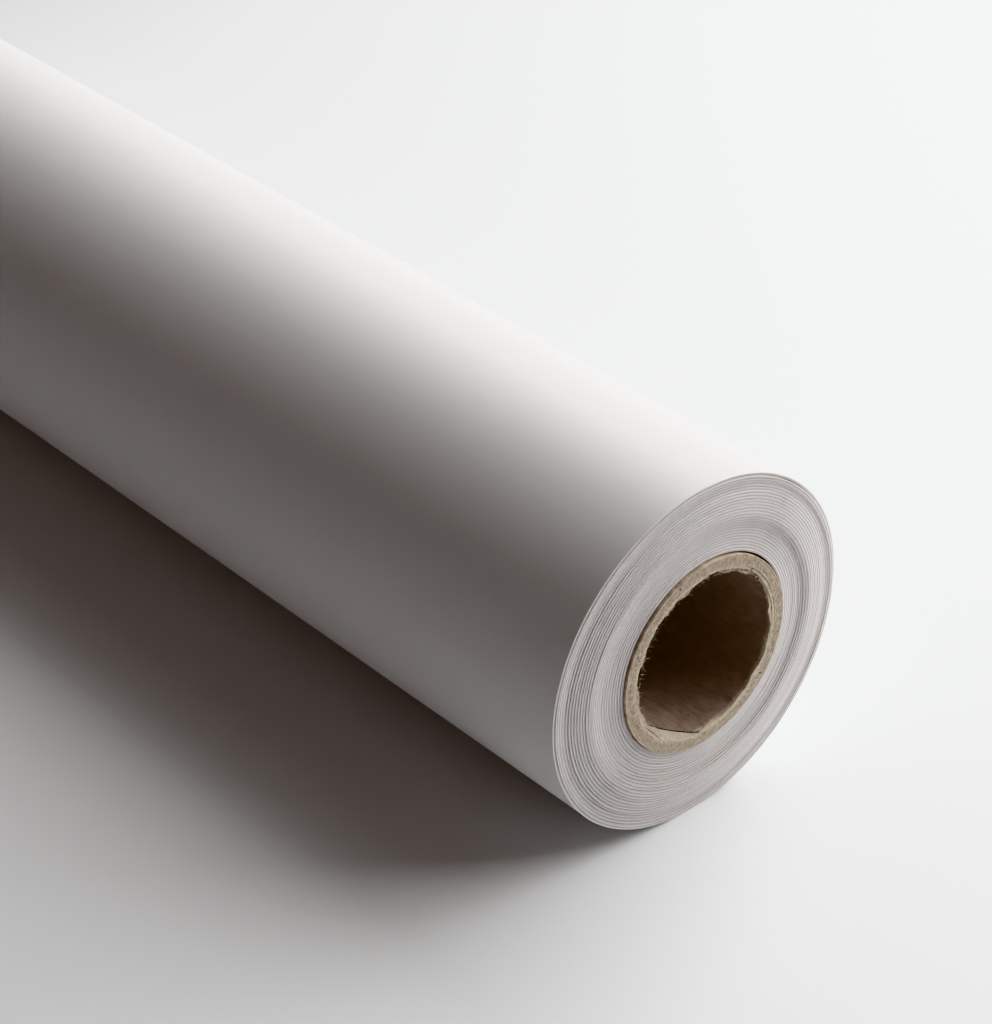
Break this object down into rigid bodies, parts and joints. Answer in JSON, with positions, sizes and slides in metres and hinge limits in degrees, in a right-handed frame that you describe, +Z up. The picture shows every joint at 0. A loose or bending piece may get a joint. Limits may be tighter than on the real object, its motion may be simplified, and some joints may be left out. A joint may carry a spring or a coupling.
{
  "type": "sign vinyl roll",
  "caption": "Roll of self-adhesive sign vinyl on its release liner, wound film side out on a spiral-wound cardboard core, with a free end that lifts and a film lip that peels.",
  "frame": {"origin": "on the core's axis, midway along the web's width", "axes": "+Y along the roll's axis towards its back end, +Z up with the roll lying on its side, +X towards the side where the web's free end lies"},
  "size_m": [0.0544, 0.3066, 0.0542],
  "materials": {
    "bore_kraft": "rough kraft paper, fibrous",
    "core_board": "grey-brown chipboard, sawn edge",
    "outer_kraft": "smooth kraft paper",
    "start_tape": "translucent double-sided tape",
    "release_liner": "silicone-coated paper, satin on the release side",
    "vinyl_film": "matte white calendered PVC"
  },
  "bodies": {
    "roll": {"core_inner_ply": "bore_kraft", "core_body_ply_1": "core_board", "core_body_ply_2": "core_board", "core_body_ply_3": "core_board", "core_body_ply_4": "core_board", "core_outer_ply": "outer_kraft", "core_start_tape": "start_tape", "wound_liner": "release_liner", "wound_film": "vinyl_film", "outer_turn_liner": "release_liner", "outer_turn_film": "vinyl_film"},
    "tail": {"tail_liner": "release_liner", "tail_film": "vinyl_film"},
    "lip": {"lip_film": "vinyl_film"}
  },
  "joints": [
    {"name": "tail_lift", "type": "hinge", "parent": "roll", "child": "tail", "pos_m": [0.02368, 0, 0.01277], "axis": [0, -1, 0], "range_deg": [0, 60], "stiffness_Nm_per_rad": 0.008},
    {"name": "lip_peel", "type": "hinge", "parent": "tail", "child": "lip", "pos_m": [0.02641, 0, -0.00798], "axis": [0, -1, 0], "range_deg": [0, 70], "stiffness_Nm_per_rad": 0.001}
  ]
}
